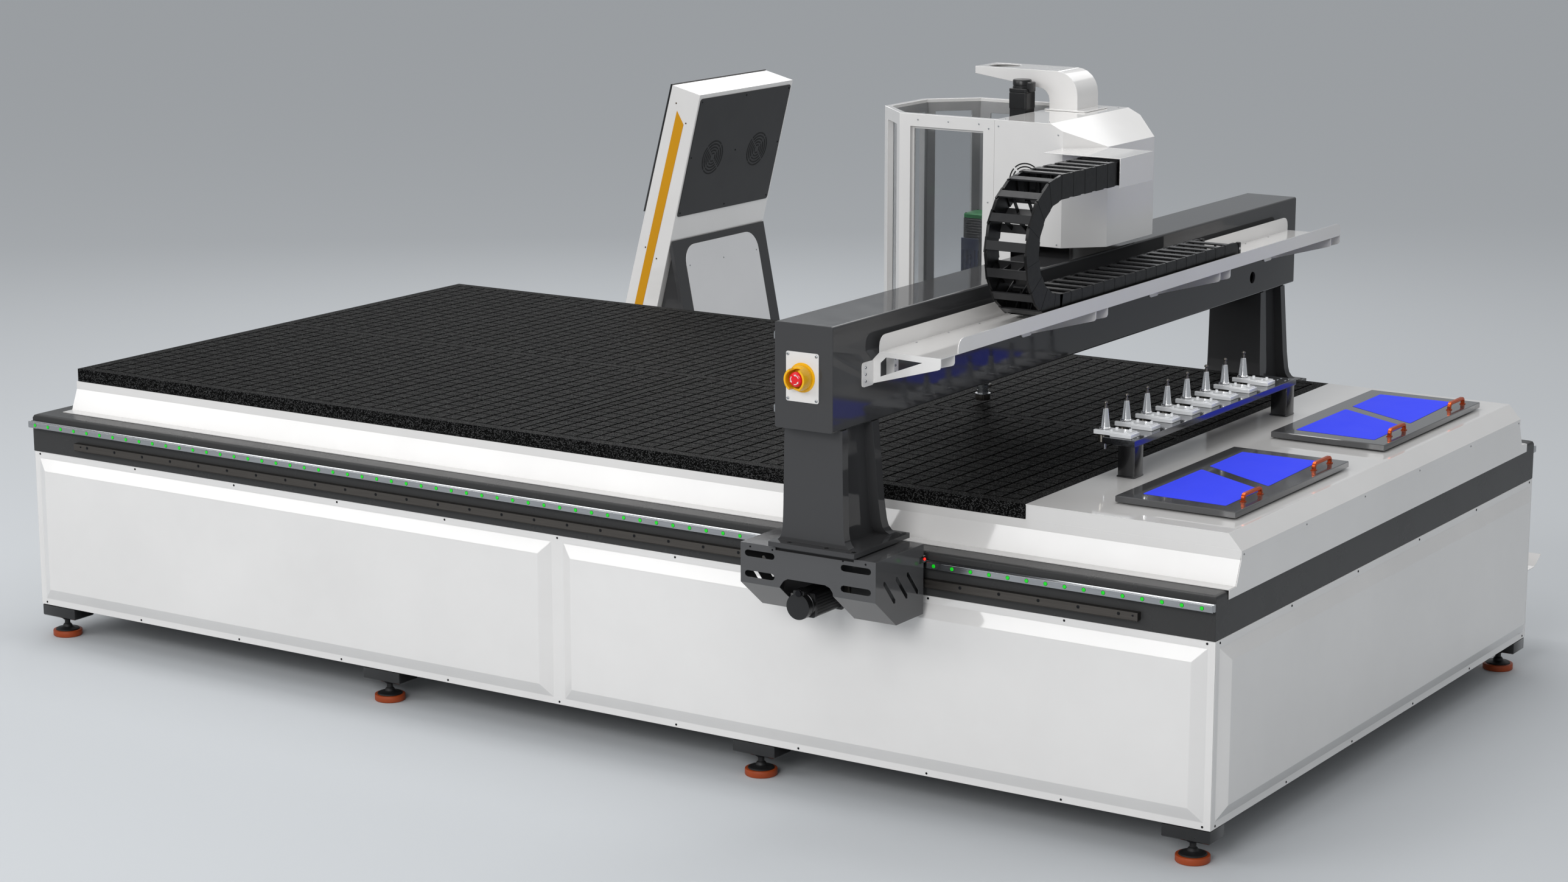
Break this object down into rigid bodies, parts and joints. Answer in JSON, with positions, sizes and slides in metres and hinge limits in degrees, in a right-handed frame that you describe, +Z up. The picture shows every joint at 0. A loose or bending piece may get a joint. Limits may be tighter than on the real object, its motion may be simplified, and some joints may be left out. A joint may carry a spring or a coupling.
{
  "type": "cnc router",
  "caption": "Large moving-gantry CNC router: flat work table on a panelled base, beam with an enclosed spindle head, tool rack, two lids and a separate control console.",
  "frame": {"origin": "on the floor, under the centre of the whole object's bounding box (machine and console together)", "axes": "+X along the long travel of the gantry, away from the table's free end; +Y from the operator side with the emergency stop to the back; +Z up"},
  "size_m": [4.485, 4.054, 2.005],
  "materials": {
    "white_sheet": "semi-gloss white powder coat",
    "grey_gloss": "gloss dark grey paint",
    "band_grey": "satin dark grey paint",
    "ground_steel": "ground",
    "rack_steel": "oiled dark",
    "bright_steel": "polished",
    "machined_alloy": "machined bright",
    "black_plastic": "matt black",
    "motor_black": "satin black",
    "mat_black": "granular",
    "foot_rubber": "moulded",
    "lid_blue": "dark frame with blue inserts",
    "estop_yellow": "moulded",
    "estop_red": "moulded",
    "clear_pane": "clear",
    "spindle_blue": "satin blue",
    "screen_glass": "gloss black"
  },
  "bodies": {
    "base": {"base_frame": "white_sheet", "panel_front": "white_sheet", "panel_back": "white_sheet", "panel_left": "white_sheet", "panel_right": "white_sheet", "rail_bed": "band_grey", "rail_front": "ground_steel", "rail_back": "ground_steel", "rack_front": "rack_steel", "rack_back": "rack_steel", "table_surround": "white_sheet", "mat": "mat_black", "foot_1": "foot_rubber", "foot_2": "foot_rubber", "foot_3": "foot_rubber", "foot_4": "foot_rubber", "foot_5": "foot_rubber", "foot_6": "foot_rubber", "foot_7": "foot_rubber", "foot_8": "foot_rubber", "tool_rack": "machined_alloy", "tool_holder_1": "bright_steel", "tool_holder_2": "bright_steel", "tool_holder_3": "bright_steel", "tool_holder_4": "bright_steel", "tool_holder_5": "bright_steel", "tool_holder_6": "bright_steel", "tool_holder_7": "bright_steel", "tool_holder_8": "bright_steel", "console_body": "white_sheet", "console_screen": "screen_glass", "console_stand": "grey_gloss"},
    "gantry": {"leg_front": "grey_gloss", "leg_back": "grey_gloss", "cover_front": "grey_gloss", "cover_back": "grey_gloss", "drive_motor_front": "motor_black", "drive_motor_back": "motor_black", "beam": "grey_gloss", "beam_rail_lower": "ground_steel", "beam_rail_upper": "ground_steel", "estop_guard": "estop_yellow", "cable_tray": "white_sheet", "chain_lower": "black_plastic"},
    "pinion_front_body": {"pinion_front": "rack_steel"},
    "pinion_back_body": {"pinion_back": "rack_steel"},
    "estop_button_body": {"estop_button": "estop_red"},
    "carriage": {"cross_saddle": "grey_gloss", "head_cover": "white_sheet", "guard_frame": "white_sheet", "guard_glass": "clear_pane", "z_motor": "motor_black", "hose_arm": "white_sheet", "chain_upper": "black_plastic"},
    "chain_loop_body": {"chain_loop": "black_plastic"},
    "z_head": {"z_plate": "grey_gloss", "spindle": "spindle_blue"},
    "spindle_rotor": {"spindle_nose": "bright_steel"},
    "lid_front_body": {"lid_front": "lid_blue"},
    "lid_rear_body": {"lid_rear": "lid_blue"}
  },
  "joints": [
    {"name": "gantry_slide", "type": "slide", "parent": "base", "child": "gantry", "axis": [-1, 0, 0], "range_m": [-0.68, 3]},
    {"name": "pinion_front_spin", "type": "hinge", "parent": "gantry", "child": "pinion_front_body", "pos_m": [1.0695, -1.667, 0.6466], "axis": [0, 1, 0], "range_deg": [-1310, 5740]},
    {"name": "pinion_back_spin", "type": "hinge", "parent": "gantry", "child": "pinion_back_body", "pos_m": [1.0695, 0.7376, 0.6466], "axis": [0, 1, 0], "range_deg": [-1310, 5740]},
    {"name": "carriage_slide", "type": "slide", "parent": "gantry", "child": "carriage", "axis": [0, 1, 0], "range_m": [-0.98, 0.86]},
    {"name": "chain_loop_slide", "type": "slide", "parent": "gantry", "child": "chain_loop_body", "axis": [0, 1, 0], "range_m": [-0.492, 0.432], "deforming": ["chain_lower", "chain_upper"]},
    {"name": "z_slide", "type": "slide", "parent": "carriage", "child": "z_head", "axis": [0, 0, 1], "range_m": [0, 0.27]},
    {"name": "spindle_spin", "type": "hinge", "parent": "z_head", "child": "spindle_rotor", "pos_m": [0.744, -0.337, 0.985], "axis": [0, 0, 1], "continuous": true},
    {"name": "estop_press", "type": "slide", "parent": "gantry", "child": "estop_button_body", "axis": [0, 1, 0], "range_m": [0, 0.006], "stiffness_N_per_m": 400},
    {"name": "lid_front_hinge", "type": "hinge", "parent": "base", "child": "lid_front_body", "pos_m": [1.757, -0.977, 0.931], "axis": [0, -1, 0], "range_deg": [0, 100]},
    {"name": "lid_rear_hinge", "type": "hinge", "parent": "base", "child": "lid_rear_body", "pos_m": [1.757, 0.062, 0.931], "axis": [0, -1, 0], "range_deg": [0, 100]}
  ],
  "couplings": [
    {"joint": "pinion_front_spin", "follows": "gantry_slide", "rad_per_m": 33.333},
    {"joint": "pinion_back_spin", "follows": "gantry_slide", "rad_per_m": 33.333},
    {"joint": "chain_loop_slide", "follows": "carriage_slide", "ratio": 0.5}
  ]
}
